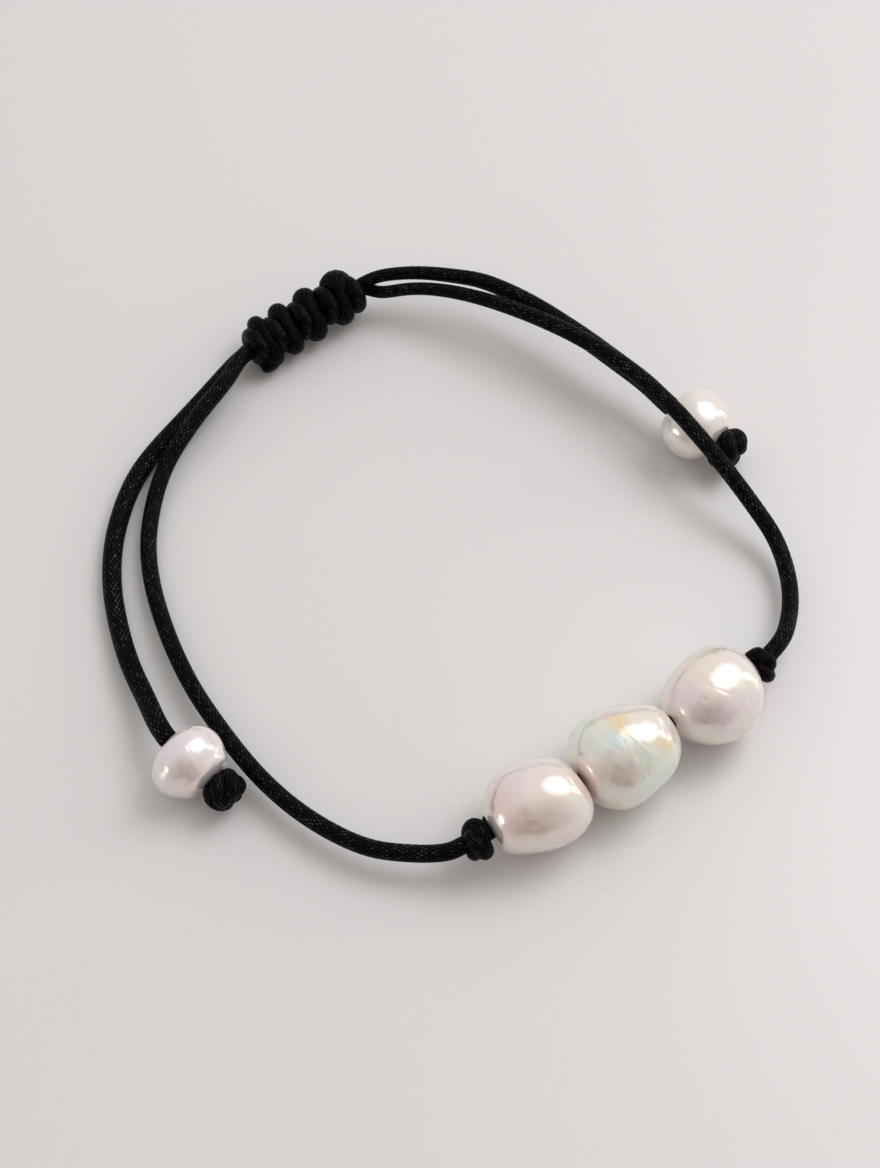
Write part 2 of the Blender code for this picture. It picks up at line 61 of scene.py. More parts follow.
# Tails: the left strand ends in the tail on the right, and the right strand in the one on the left
TAIL_RADII = {"left_strand": 0.97, "right_strand": 0.93}
TAIL_SWELL_RUNS = {"left_strand": 24.0, "right_strand": 9.0}
TAIL_GAP = 0.15
TAIL_ROUND = 0.1
TAIL_ROUND_SHARE = 0.86
CORE_STEP = 0.02

# Both strands are pulled thin to the right of the sliding knot: distance from it, share of radius
THIN_RUNS = (0.0, 8.0, 15.0, 22.0)
THIN_SHARES = (0.78, 0.82, 0.9, 1.0)

# Braid: carriers each way, length of a cell, steps of the mesh along and around, height of the
# yarns as a share of the radius, and their form
CARRIERS = 14
CELL = 0.7
RING_STEP = 0.12
AROUND = 56
CROWN = 0.07
YARN_DOME = 0.62
YARN_WAVE = 0.38
YARN_SLIMNESS = 1.9
MEAN_HEIGHT = 0.6

# Where two strands press together, a gap stays between them
PRESS_GAP = 0.01
LEAST_FACING = 0.05

# How strongly painted glints show in each kind of cord
STRAND_SPARKLE = 1.0
KNOT_SPARKLE = 0.5
WIDE_TURN_SPARKLE = 0.25
NARROW_TURN_SPARKLE = 1.0
CUT_END_SPARKLE = 0.2

# Colours of the yarn: painted shade in its crevices, its own tone on its domes, and painted glints
# on scattered yarns
YARN_CREVICE_SHADE = (0.0003, 0.0003, 0.0003)
YARN_LIGHT = (0.0016, 0.0015, 0.0016)
PAINTED_GLINT = (0.11, 0.11, 0.115)

# Routes of the strands
LEFT_LOOP_ROUTE = (
    (-0.7, -31.5, 3.9), (-2.4, -31.7, 3.5), (-5.1, -31.5, 3.1), (-7.8, -31.0, 2.8),
    (-11.2, -29.5, 2.5), (-14.4, -27.4, 2.35), (-17.3, -24.9, 2.3), (-20.0, -21.9, 2.25),
    (-22.45, -18.6, 2.15), (-24.75, -15.1, 1.95), (-26.8, -11.2, 1.7), (-28.5, -7.1, 1.45),
    (-29.9, -2.6, 1.2), (-30.6, 1.9, 1.1), (-30.4, 6.4, 1.25), (-29.1, 11.2, 1.95),
    (-27.7, 13.7, 2.6), (-25.6, 17.0, 3.15), (-23.6, 20.1, 3.4),
)
RIGHT_TAIL_ROUTE = (
    (-8.4, 32.1, 4.8), (-6.7, 32.3, 5.0), (-5.0, 32.35, 5.1), (-3.0, 32.2, 5.2),
    (-0.4, 31.8, 5.25), (2.1, 31.2, 5.3), (4.7, 30.0, 5.25), (7.4, 28.3, 5.15),
    (10.3, 26.1, 5.0), (13.3, 23.6, 4.9), (16.2, 21.1, 4.65), (19.0, 18.7, 4.2),
)
RIGHT_LOOP_ROUTE = (
    (30.0, -10.4, 3.8), (30.95, -8.2, 3.1), (31.5, -5.8, 2.55), (31.65, -3.3, 2.25),
    (31.3, -0.6, 2.35), (30.35, 2.0, 2.9), (29.05, 3.9, 3.7), (27.65, 5.6, 4.65),
    (26.15, 7.4, 5.55), (24.55, 9.4, 6.3), (22.95, 11.5, 6.7), (21.5, 13.5, 6.85),
    (19.6, 15.8, 6.9), (17.2, 18.5, 6.9), (14.4, 21.0, 6.8), (11.5, 23.2, 6.7),
    (8.4, 25.2, 6.5), (5.25, 27.0, 6.15), (2.1, 28.6, 5.7), (-1.0, 29.85, 5.2),
    (-3.7, 30.55, 4.75), (-6.2, 30.85, 4.15), (-8.2, 30.95, 3.7),
)
LEFT_TAIL_ROUTE = (
    (-24.0, 21.6, 2.1), (-26.1, 18.7, 1.8), (-28.2, 15.9, 1.55), (-30.3, 13.1, 1.35),
    (-32.0, 10.3, 1.2), (-33.4, 6.1, 1.1), (-34.0, 1.5, 1.1), (-33.75, -3.0, 1.1),
    (-32.75, -7.5, 1.3), (-31.2, -12.0, 1.75), (-29.25, -16.2, 2.6),
)

# Pearls: start of the hole, its direction, length, largest radius
PEARLS = {
    "pearl_left": ((2.497, -29.821, 4.3), (0.86519, 0.49952, 0.04396), 9.1, 4.5),
    "pearl_centre": ((10.625, -25.117, 4.7), (0.83319, 0.55148, 0.04082), 9.8, 4.9),
    "pearl_right": ((19.03, -19.532, 5.1), (0.7939, 0.59825, -0.1087), 9.2, 4.6),
    "tail_pearl_left": ((-26.7, -20.85, 3.85), (0.71234, -0.6879, -0.13917), 5.5, 3.45),
    "tail_pearl_right": ((21.42, 16.16, 3.8), (0.76958, -0.6232, -0.13917), 5.8, 3.4),
}
# Turned profiles: shares of the length and of the largest radius
PROFILES = {
    "pearl_left": (
        (0.0, 0.27), (0.03, 0.43), (0.1, 0.64), (0.22, 0.83), (0.36, 0.95), (0.52, 1.0),
        (0.67, 0.99), (0.8, 0.92), (0.9, 0.79), (0.97, 0.59), (1.0, 0.4)),
    "pearl_centre": (
        (0.0, 0.34), (0.03, 0.5), (0.1, 0.71), (0.22, 0.9), (0.38, 0.99), (0.52, 1.0),
        (0.66, 0.95), (0.79, 0.84), (0.9, 0.64), (0.97, 0.43), (1.0, 0.27)),
    "pearl_right": (
        (0.0, 0.27), (0.03, 0.43), (0.1, 0.65), (0.22, 0.86), (0.36, 0.97), (0.5, 1.0),
        (0.64, 0.97), (0.78, 0.87), (0.9, 0.68), (0.97, 0.47), (1.0, 0.31)),
    "tail_pearl_left": (
        (0.0, 0.34), (0.03, 0.5), (0.1, 0.72), (0.22, 0.9), (0.36, 1.0), (0.5, 1.02),
        (0.62, 0.98), (0.72, 0.91), (0.8, 0.83), (0.86, 0.78), (0.93, 0.67), (1.0, 0.4)),
    "tail_pearl_right": (
        (0.0, 0.34), (0.03, 0.49), (0.1, 0.69), (0.22, 0.88), (0.36, 0.97), (0.5, 1.0),
        (0.64, 0.97), (0.78, 0.88), (0.9, 0.69), (0.97, 0.49), (1.0, 0.34)),
}
# How far in mm each pearl stands out of its turned form, at eight ways round the view, counted
# from the right and turning up
STANDS_OUT = {
    "pearl_left": (0.27, -0.16, -0.6, 0.0, -0.05, 0.25, -0.25, -0.05),
    "pearl_centre": (0.12, 0.08, -0.62, -0.2, 0.03, 0.1, 0.0, -0.35),
    "pearl_right": (0.3, 0.37, 0.07, -0.64, -0.4, -0.3, -0.38, 0.15),
    "tail_pearl_left": (0.0, 0.05, 0.08, -0.1, 0.12, 0.35, 0.0, 0.0),
    "tail_pearl_right": (0.05, 0.2, 0.4, 0.2, 0.2, 0.15, 0.05, 0.0),
}
REST_HEIGHT = 0.03
HOLE_RADIUS = 0.68
END_ROUND = 0.1
ROUND_ALONG = 0.2
ROUND_OUT = 0.3
PEARL_ROW = 0.13
PEARL_AROUND = 144

# A pearl keeps its turned form at the hole, and departs from it over this run; rates of its
# lumps, dimples and folds, and how its folds are turned and drawn out
HOLD_RUN = 1.2
LUMP_RATE = 1.3
DIMPLE_RATE = 4.5
FOLD_RATE = 0.8
FOLD_DRAWN = 3.0
FOLD_TURN = math.radians(-45)
FOLD_WAY = np.array((math.cos(FOLD_TURN), math.sin(FOLD_TURN), 0.0))
FOLD_SIDE = np.array((-math.sin(FOLD_TURN), math.cos(FOLD_TURN), 0.0))

# Nacre: slot, colours (body, overtone, accent, glow), creases, seed, and in mm the heights of
# the lumps, dimples and folds
NACRE = {
    "pearl_left": ("pearl_pink", (
        (0.94, 0.83, 0.78), (0.95, 0.87, 0.80), (0.94, 0.72, 0.71), (0.93, 0.84, 0.88)),
        0.03, 1.7, 0.1, 0.012, 0.004),
    "pearl_centre": ("pearl_silver", (
        (0.90, 0.90, 0.82), (0.92, 0.88, 0.82), (0.96, 0.84, 0.72), (0.82, 0.92, 0.87)),
        0.2, 4.3, 0.12, 0.03, 0.03),
    "pearl_right": ("pearl_cream", (
        (0.94, 0.85, 0.80), (0.94, 0.85, 0.83), (0.96, 0.84, 0.72), (0.92, 0.81, 0.86)),
        0.25, 7.9, 0.1, 0.03, 0.02),
    "tail_pearl_left": ("pearl_lilac", (
        (0.92, 0.85, 0.86), (0.94, 0.89, 0.88), (0.93, 0.79, 0.76), (0.89, 0.85, 0.91)),
        0.12, 2.9, 0.1, 0.02, 0.015),
    "tail_pearl_right": ("pearl_small_cream", (
        (0.94, 0.88, 0.83), (0.95, 0.90, 0.86), (0.94, 0.80, 0.75), (0.91, 0.86, 0.88)),
        0.05, 5.1, 0.1, 0.01, 0.0),
}
# Overtone patches, the cream ones low on a pearl partly a painted reflection of the warm floor:
# across and up the view from the pearl's middle, and reach, as shares of its radius, and colour
PATCHES = {
    "pearl_left": (
        (-0.66, 0.16, 0.6, (0.93, 0.73, 0.72)), (-0.19, -0.41, 0.5, (0.93, 0.70, 0.68)),
        (-0.41, 0.62, 0.35, (0.87, 0.75, 0.83)), (0.0, -0.8, 0.6, (0.95, 0.89, 0.79))),
    "pearl_centre": (
        (0.7, -0.2, 0.8, (0.79, 0.88, 0.76)), (0.1, -0.85, 0.6, (0.80, 0.86, 0.72)),
        (-0.7, -0.41, 0.55, (0.95, 0.75, 0.71)), (-0.07, -0.35, 0.35, (0.93, 0.76, 0.72)),
        (-0.31, 0.78, 0.35, (0.92, 0.73, 0.79)), (-0.3, 0.33, 0.3, (0.68, 0.89, 0.92)),
        (-0.16, 0.6, 0.34, (1.0, 0.73, 0.38)), (0.66, 0.19, 0.3, (1.0, 0.73, 0.40))),
    "pearl_right": (
        (0.0, 0.75, 0.6, (0.95, 0.86, 0.73)), (-0.5, 0.05, 0.5, (0.91, 0.77, 0.83)),
        (0.3, -0.25, 0.6, (0.91, 0.77, 0.83)), (0.75, -0.55, 0.5, (0.95, 0.88, 0.75)),
        (0.0, -0.85, 0.5, (0.95, 0.87, 0.74))),
    "tail_pearl_left": (
        (-0.3, 0.5, 0.6, (0.86, 0.80, 0.88)), (0.2, -0.5, 0.5, (0.95, 0.83, 0.76))),
    "tail_pearl_right": ((0.0, -0.8, 0.7, (0.95, 0.85, 0.76)),),
}
PATCH_STRENGTH = 0.75
PATCH_CORE = 0.2
NACRE_CLOUD = (0.97, 0.95, 0.93)

# Knots: near side, far side, axis of the turns, width, depth, cord radius, lobes, and spin in
# degrees
KNOT_TURNS = 2
KNOT_POINTS = 480
KNOT_SWING = 0.45
KNOTS = {
    "knot_left": ((2.6, -30.0, 4.3), (0.1, -31.5, 4.0), (-0.96593, -0.25882, 0.0),
                  4.1, 2.5, 0.74, 3, 0),
    "knot_right": ((26.6, -13.98, 4.08), (29.1, -12.0, 3.84), (0.79864, 0.60182, 0.0),
                   3.8, 2.4, 0.7, 3, 40),
    "end_knot_left": ((-22.7, -24.55, 3.05), (-20.4, -26.05, 2.92), (0.71234, -0.6879, -0.13917),
                      4.1, 2.9, 0.75, 5, 20),
    "end_knot_right": ((25.68, 12.45, 2.98), (27.68, 11.05, 2.8), (0.76958, -0.6232, -0.13917),
                       4.8, 2.9, 0.8, 5, 0),
}

# Sliding knot: its place and axes, how its face is turned, how the two strands are stacked in it,
# and the points of their way through it as shares of its length
SLIDING_START = (-21.56, 24.32, 2.5)
SLIDING_DIRECTION = (0.81779, 0.57263, 0.05756)
SLIDING_ACROSS = (-0.57358, 0.81915, 0.0)
SLIDING_UP = (-0.04715, -0.03302, 0.99834)
SLIDING_LENGTH = 13.2
FACE_ANGLE = math.radians(26.5)
STACK_ANGLE = math.radians(116.5)
STACK = 0.65
WAY_SHARES = (0.0, 0.12, 0.5, 0.88, 1.0)

# Wide turns: place along the knot, lean in degrees, radius of the cord above and below
WIDE_TURNS = ((1.95, 0, 0.85, 0.8), (4.45, 4, 1.02, 1.0), (7.45, 10, 1.25, 1.14),
              (10.95, 14, 1.8, 1.16))
WIDE_HALF = 1.75
WIDE_FRONT = 1.45
WIDE_WAIST = 0.72
WIDE_SWELL_POWER = 1.5
WIDE_INSET = 1.1
WIDE_POINTS = 120

# Narrow turns: place along the knot, lean in degrees, shift across
NARROW_TURNS = ((0.77, 0, 0), (2.97, 0, 0), (6.15, 2, 0), (9.35, 4, 0), (12.4, 0, -0.4))
NARROW_HALF = 1.3
NARROW_FRONT = 1.78
NARROW_RADIUS = 0.78
NARROW_POINTS = 110

# Cut end: place along the knot, start and end across it, radius, share that is rounded, and how
# much of that share is left at the tip
CUT_END_PLACE = 1.05
CUT_END_START = 0.8
CUT_END_REACH = 3.0
CUT_END_RADIUS = 1.02
CUT_END_ROUND = 0.2
CUT_END_LEAST = 0.12

# Where the strands start in their knots and leave them
STARTS = {"left_strand": (0.8, -30.8, 4.2), "right_strand": (27.8, -12.9, 3.93)}
EXITS = {"left_strand": (-0.208, -31.311, 4.061), "right_strand": (28.664, -12.013, 3.842)}

# Lights: azimuth and elevation in degrees, distance, width and height in metres, power, colour
LIGHTS = {
    "softbox": (34, 55, 0.5, 0.26, 0.26, 0.62, (0.97, 0.98, 1.0)),
    "halo": (34, 55, 0.52, 0.5, 0.5, 0.45, (0.97, 0.98, 1.0)),
    "strip": (20, 16, 0.6, 0.09, 0.28, 0.3, (1.0, 0.92, 0.8)),
    "glint": (207, 7, 0.4, 0.12, 0.05, 0.07, (1.0, 0.96, 0.9)),
}

# Tones of the room above and in front, of the dark patches in front, and of the floor
ROOM_ABOVE = (0.69, 0.67, 0.65)
ROOM_FRONT = (0.50, 0.455, 0.43)
ROOM_DARK = (0.10, 0.095, 0.09)
ROOM_WARM = (0.42, 0.32, 0.28)
FLOOR_DARKER = (0.755, 0.75, 0.752)
FLOOR_LIGHTER = (0.775, 0.77, 0.772)
FLOOR_HALF = 1.5


def unit(v):
    """A vector of length one along v."""
    v = np.asarray(v, float)
    return v / np.linalg.norm(v)


def spline(points, step):
    """Natural cubic spline through points, sampled about a step apart, with its lengths."""
    knots = np.array(points, float)
    spans = np.linalg.norm(np.diff(knots, axis=0), axis=1)
    at = np.concatenate([[0.0], np.cumsum(spans)])
    count = len(knots)
    system, target = np.eye(count), np.zeros(knots.shape)
    for i in range(1, count - 1):
        system[i, i - 1:i + 2] = (spans[i - 1], 2 * (spans[i - 1] + spans[i]), spans[i])
        target[i] = 6 * ((knots[i + 1] - knots[i]) / spans[i]
                         - (knots[i] - knots[i - 1]) / spans[i - 1])
    bends = np.linalg.solve(system, target)
    where = np.linspace(0, at[-1], max(2, int(round(at[-1] / step)) + 1))
    i = np.clip(np.searchsorted(at, where, side="right") - 1, 0, count - 2)
    span = spans[i][:, None]
    left, right = (at[i + 1] - where)[:, None], (where - at[i])[:, None]
    line = ((bends[i] * left ** 3 + bends[i + 1] * right ** 3) / (6 * span)
            + (knots[i] / span - bends[i] * span / 6) * left
            + (knots[i + 1] / span - bends[i + 1] * span / 6) * right)
    return line, where, at


def carried_frame(line):
    """Two normals at each point of a line, carried along it without twist."""
    tangents = np.gradient(line, axis=0)
    tangents /= np.linalg.norm(tangents, axis=1)[:, None]
    normals = np.empty_like(line)
    normal = np.array((0.0, 0.0, 1.0))
    if abs(normal @ tangents[0]) > 0.9:
        normal = np.array((0.0, 1.0, 0.0))
    for i, tangent in enumerate(tangents):
        normal = unit(normal - tangent * (normal @ tangent))
        normals[i] = normal
    return normals, np.cross(tangents, normals)


def braid_height(a, b):
    """Height of a plain braid of yarns at two crossing counts."""
    row_a, row_b = np.floor(a), np.floor(b)
    sign = np.where((row_a + row_b) % 2 == 0, 1, -1)
    high_a = YARN_DOME * np.sqrt(np.clip(1 - (YARN_SLIMNESS * (a - row_a - 0.5)) ** 2, 0, 1))
    high_b = YARN_DOME * np.sqrt(np.clip(1 - (YARN_SLIMNESS * (b - row_b - 0.5)) ** 2, 0, 1))
    high_a += YARN_WAVE * sign * np.abs(np.sin(np.pi * b))
    high_b -= YARN_WAVE * sign * np.abs(np.sin(np.pi * a))
    return np.maximum(high_a, high_b)


def braid(line, radii, closed=False, press=None, sparkle=STRAND_SPARKLE):
    """Braided cord along a line: points, faces and each face corner's braid counts and sparkle."""
    line, radii = np.asarray(line, float), np.asarray(radii, float)
    rings = len(line)
    if closed:
        padded = np.vstack([line[-1], line, line[0]])
        first, second = (ways[1:-1] for ways in carried_frame(padded))
    else:
        first, second = carried_frame(line)
    steps = np.linalg.norm(np.diff(line, axis=0), axis=1)
    along = np.concatenate([[0.0], np.cumsum(steps)])
    whole = along[-1] + (np.linalg.norm(line[0] - line[-1]) if closed else 0.0)
    cell = whole / (2 * max(1, round(whole / (2 * CELL)))) if closed else CELL
    angle = np.arange(AROUND) * math.tau / AROUND
    turn, run = CARRIERS * angle / math.tau, along / cell
    height = braid_height(turn[None] + run[:, None], turn[None] - run[:, None])
    ways = (first[:, None] * np.cos(angle)[:, None] + second[:, None] * np.sin(angle)[:, None])
    reach = radii[:, None] * (1 + CROWN * (height - MEAN_HEIGHT))
    if press is not None:
        toward, room = press
        facing = np.einsum("rak,rk->ra", ways, toward)
        limit = room[:, None] / np.clip(facing, LEAST_FACING, 1)
        reach = np.where(facing > LEAST_FACING, np.minimum(reach, limit), reach)
    points = (line[:, None] + ways * reach[..., None]).reshape(-1, 3)
    i = np.arange(rings if closed else rings - 1)[:, None]
    j = np.arange(AROUND)[None]
    after, beside = (i + 1) % rings, (j + 1) % AROUND
    faces = np.stack([i * AROUND + j, i * AROUND + beside,
                      after * AROUND + beside, after * AROUND + j], -1).reshape(-1, 4).tolist()
    runs = np.concatenate([run, [whole / cell]])
    share = CARRIERS / AROUND
    counts = np.stack([
        np.stack([share * (j + dj) + 0.0 * i, runs[i + di] + 0.0 * j, sparkle + 0.0 * (i + j)], -1)
        for di, dj in ((0, 0), (0, 1), (1, 1), (1, 0))], -2).reshape(-1, 3)
    if not closed:
        faces.append(list(range(AROUND))[::-1])
        faces.append([(rings - 1) * AROUND + k for k in range(AROUND)])
        caps = [(share * k, run[0], 0) for k in range(AROUND)][::-1]
        caps += [(share * k, run[-1], 0) for k in range(AROUND)]
        counts = np.vstack([counts, caps])
    return points, faces, counts


def make_object(name, parts, material, node):
    """One mesh object from parts, standing for a node."""
    points, faces, counts, offset = [], [], [], 0
    for part_points, part_faces, part_counts in parts:
        points.append(part_points)
        counts.append(part_counts)
        faces += [[k + offset for k in face] for face in part_faces]
        offset += len(part_points)
    mesh = bpy.data.meshes.new(name)
    mesh.from_pydata((np.vstack(points) * MM).tolist(), [], faces)
    braid_counts = mesh.attributes.new("braid", "FLOAT_VECTOR", "CORNER")
    braid_counts.data.foreach_set("vector", np.vstack(counts).astype(np.float32).ravel())
    mesh.polygons.foreach_set("use_smooth", np.ones(len(mesh.polygons), bool))
    mesh.materials.append(material)
    mesh.update()
    obj = bpy.data.objects.new(name, mesh)
    bpy.context.scene.collection.objects.link(obj)
    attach(obj, "root")
    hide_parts(node)
    return obj


# Camera
def make_camera():
    """The camera at the photograph's place."""
    data = bpy.data.cameras.new("camera")
    data.lens = LENS
    data.sensor_width = 36.0
    data.clip_start = 0.01
    data.clip_end = 20.0
    camera = bpy.data.objects.new("camera", data)
    bpy.context.scene.collection.objects.link(camera)
    back = Vector(VIEW_FRONT)
    camera.location = (Vector(LOOK_AT) + back * CAMERA_DISTANCE) * MM
    camera.rotation_mode = "QUATERNION"
    camera.rotation_quaternion = (-back).to_track_quat("-Z", "Y")
    bpy.context.scene.camera = camera


# Materials
class Shader:
    """A material or world whose nodes are added by name and linked by their sockets."""

    def __init__(self, name, world=False):
        self.data = (bpy.data.worlds if world else bpy.data.materials).new(name)
        self.data.use_nodes = True
        self.tree = self.data.node_tree
        self.out = self.tree.nodes["Background" if world else "Principled BSDF"]
        self.place = self.add("ShaderNodeTexCoord").outputs["Generated" if world else "Object"]

    def add(self, kind, **values):
        """A new node with its settings."""
        node = self.tree.nodes.new(kind)
        for key, value in values.items():
            setattr(node, key, value)
        return node

    def link(self, source, target):
        self.tree.links.new(source, target)

    def feed(self, socket, value):
        """Link a socket to an input, or set the input to a constant."""
        if isinstance(value, bpy.types.NodeSocket):
            self.link(value, socket)
        else:
            socket.default_value = value

    def math(self, operation, a, b=0.0):
        node = self.add("ShaderNodeMath", operation=operation)
        self.feed(node.inputs[0], a)
        self.feed(node.inputs[1], b)
        return node.outputs[0]

    def moved(self, shift, stretch=(1, 1, 1), turn=(0, 0, 0)):
        """Object coordinates shifted, then turned and drawn out."""
        node = self.add("ShaderNodeMapping", vector_type="TEXTURE")
        self.link(self.place, node.inputs["Vector"])
        node.inputs["Location"].default_value = shift
        node.inputs["Rotation"].default_value = turn
        node.inputs["Scale"].default_value = stretch
        return node.outputs["Vector"]

    def noise(self, scale, detail=2.0, rough=0.5, distortion=0.0, vector=None):
        node = self.add("ShaderNodeTexNoise")
        self.link(vector or self.place, node.inputs["Vector"])
        node.inputs["Scale"].default_value = scale
        node.inputs["Detail"].default_value = detail
        node.inputs["Roughness"].default_value = rough
        node.inputs["Distortion"].default_value = distortion
        return node.outputs["Fac"]

    def spread(self, value, low, high, to_low=0.0, to_high=1.0):
        """A value's range from low to high, spread over another and held at its ends."""
        node = self.add("ShaderNodeMapRange")
        self.link(value, node.inputs["Value"])
        node.inputs["From Min"].default_value = low
        node.inputs["From Max"].default_value = high
        node.inputs["To Min"].default_value = to_low
        node.inputs["To Max"].default_value = to_high
        return node.outputs["Result"]

    def mix(self, factor, first, second):
        node = self.add("ShaderNodeMix", data_type="RGBA")
        self.feed(node.inputs["Factor"], factor)
        for name, value in (("A", first), ("B", second)):
            socket = next(s for s in node.inputs if s.name == name and s.type == "RGBA")
            self.feed(socket, value if isinstance(value, bpy.types.NodeSocket) else (*value, 1))
        return next(s for s in node.outputs if s.type == "RGBA")

    def bump(self, height, strength, distance, before=None):
        """Normal tilted by a height, over the normal from before."""
        node = self.add("ShaderNodeBump")
        node.inputs["Strength"].default_value = strength
        node.inputs["Distance"].default_value = distance
        self.link(height, node.inputs["Height"])
        if before:
            self.link(before, node.inputs["Normal"])
        return node.outputs["Normal"]

    def set(self, **values):
        """Inputs of the last node, by their names with _ for a space."""
        for key, value in values.items():
            self.feed(self.out.inputs[key.replace("_", " ")], value)


def cord_material(node):
    """Black satin nylon braid: round yarns, painted shade in their crevices and scattered painted
    glints, partly metallic.
    """
    s = Shader("nylon_" + node)
    counts = s.add("ShaderNodeSeparateXYZ")
    s.link(s.add("ShaderNodeAttribute", attribute_name="braid").outputs["Vector"],
           counts.inputs[0])
    a = s.math("ADD", counts.outputs["X"], counts.outputs["Y"])
    b = s.math("SUBTRACT", counts.outputs["X"], counts.outputs["Y"])
    row_a, row_b = s.math("FLOOR", a), s.math("FLOOR", b)
    in_a, in_b = s.math("SUBTRACT", a, row_a), s.math("SUBTRACT", b, row_b)
    under = s.math("FLOORED_MODULO", s.math("ADD", row_a, row_b), 2.0)
    swing = s.math("MULTIPLY", under, s.math("SUBTRACT", in_b, in_a))
    across = s.math("SUBTRACT", s.math("ADD", in_a, swing), 0.5)
    along = s.math("SUBTRACT", in_b, swing)
    wide = s.math("ABSOLUTE", across)
    far = s.math("ABSOLUTE", s.math("SUBTRACT", along, 0.5))
    dome = s.math("SUBTRACT", 1.0, s.math("MULTIPLY", s.math("POWER", wide, 2.0), 3.6))
    arch = s.math("SUBTRACT", 1.0, s.math("MULTIPLY", s.math("POWER", far, 2.0), 2.6))
    height = s.math("MULTIPLY", s.math("POWER", s.math("MAXIMUM", dome, 0.0), 0.5), arch)
    cell = s.add("ShaderNodeCombineXYZ")
    s.link(row_a, cell.inputs["X"])
    s.link(row_b, cell.inputs["Y"])
    chance = s.add("ShaderNodeTexWhiteNoise", noise_dimensions="3D")
    s.link(cell.outputs[0], chance.inputs["Vector"])
    patch = s.noise(260.0, 2.0)
    # Painted glints: chosen cells get a narrow grey streak along the yarn, also made partly
    # metallic
    picked = s.spread(s.math("ADD", chance.outputs["Value"], s.math("MULTIPLY", patch, 0.9)),
                      0.95, 1.5)
    picked = s.math("MULTIPLY", picked, counts.outputs["Z"])
    slip = s.math("MULTIPLY", s.math("SUBTRACT", s.noise(3100.0, 1.0), 0.5), 0.7)
    thread = s.spread(s.math("ABSOLUTE", s.math("ADD", across, slip)), 0.15, 0.03)
    thread = s.math("MULTIPLY", thread, s.spread(far, 0.46, 0.2))
    painted_glint = s.math("MULTIPLY", thread, picked)
    fibres = s.math("SINE", s.math("MULTIPLY", across, 40.0))
    # Painted shade: the yarn's colour is darker in the crevices between its domes
    tone = s.mix(s.spread(height, 0.1, 0.9), YARN_CREVICE_SHADE, YARN_LIGHT)
    # Painted glint laid over the yarn's colour
    tone = s.mix(painted_glint, tone, PAINTED_GLINT)
    normal = s.bump(height, 0.55, 0.00006)
    normal = s.bump(fibres, 0.25, 0.000012, normal)
    s.set(Base_Color=tone, Metallic=s.math("MULTIPLY", painted_glint, 0.7), Normal=normal,
          Roughness=s.spread(s.noise(500.0, 3.0), 0.3, 0.7, 0.34, 0.5),
          Specular_IOR_Level=s.spread(height, 0.2, 0.9, 0.015, 0.075))
    return s.data


def nacre_material(pearl, name, body, overtone, accent, glow, creases, shift):
    """Nacre: soft overtones with ragged patches of orient colour, creases and orange peel.
    The cream patches low on a pearl are partly a painted reflection of the warm floor.
    """
    s = Shader(name)
    vector = s.moved(shift)
    tint = s.spread(s.noise(170.0, 2.0, 0.5, 0.8, vector), 0.42, 0.58)
    orient = s.spread(s.noise(330.0, 1.0, 0.5, 0.6, vector), 0.5, 0.7)
    second = s.spread(s.noise(290.0, 1.0, 0.5, 0.6, s.moved((0.4, 0.1, 0.2))), 0.52, 0.72)
    cloud = s.spread(s.noise(700.0, 3.0, 0.6, 0.5, vector), 0.35, 0.7, 0.0, 0.15)
    tone = s.mix(tint, body, overtone)
    tone = s.mix(s.math("MULTIPLY", orient, 0.5), tone, accent)
    tone = s.mix(s.math("MULTIPLY", second, 0.5), tone, glow)
    start, direction, length, radius = PEARLS[pearl]
    middle = np.array(start) + unit(direction) * length / 2
    ragged = s.math("MULTIPLY", s.math("SUBTRACT", s.noise(500.0, 2.0, 0.6, 0.5, vector), 0.5),
                    0.5 * radius * MM)
    # Patches of orient colour; the cream ones low on a pearl are partly a painted reflection of
    # the warm floor
    for across, up, reach, colour in PATCHES[pearl]:
        front = math.sqrt(1 - across ** 2 - up ** 2)
        way = np.array((across, 0.0, 0.0)) + VIEW_UP * up + VIEW_FRONT * front
        away = s.add("ShaderNodeVectorMath", operation="DISTANCE")
        s.link(s.place, away.inputs[0])
        away.inputs[1].default_value = (middle + way * radius) * MM
        spot = s.spread(s.math("ADD", away.outputs["Value"], ragged),
                        reach * radius * MM, PATCH_CORE * reach * radius * MM,
                        0.0, PATCH_STRENGTH)
        tone = s.mix(spot, tone, colour)
    tone = s.mix(cloud, tone, NACRE_CLOUD)
    some = s.spread(s.noise(190.0, 1.0, 0.5, 0.0, vector), 0.34, 0.56)
    drawn = s.moved(shift, (FOLD_DRAWN, 1.0, 1.0), (0.0, 0.0, FOLD_TURN))
    crease = s.spread(s.math("ABSOLUTE", s.math("SUBTRACT", s.noise(560.0, 1.0, 0.5, 0.4, drawn),
                                                0.5)), 0.0, 0.1)
    normal = s.bump(s.noise(480.0, 1.0, 0.4, 0.4, vector), 0.3, 0.0001)
    normal = s.bump(s.math("MULTIPLY", crease, some), creases, 0.0001, normal)
    s.set(Base_Color=tone, Normal=normal, Metallic=0.43, IOR=1.6,
          Roughness=s.spread(cloud, 0.0, 0.15, 0.16, 0.21),
          Subsurface_Weight=0.2, Subsurface_Scale=0.0012,
          Coat_Weight=0.6, Coat_Roughness=0.05, Coat_IOR=1.5,
          Thin_Film_Thickness=s.spread(tint, 0.0, 1.0, 380.0, 560.0), Thin_Film_IOR=1.45)
    s.out.inputs["Subsurface Radius"].default_value = (1.0, 0.8, 0.7)
    return s.data


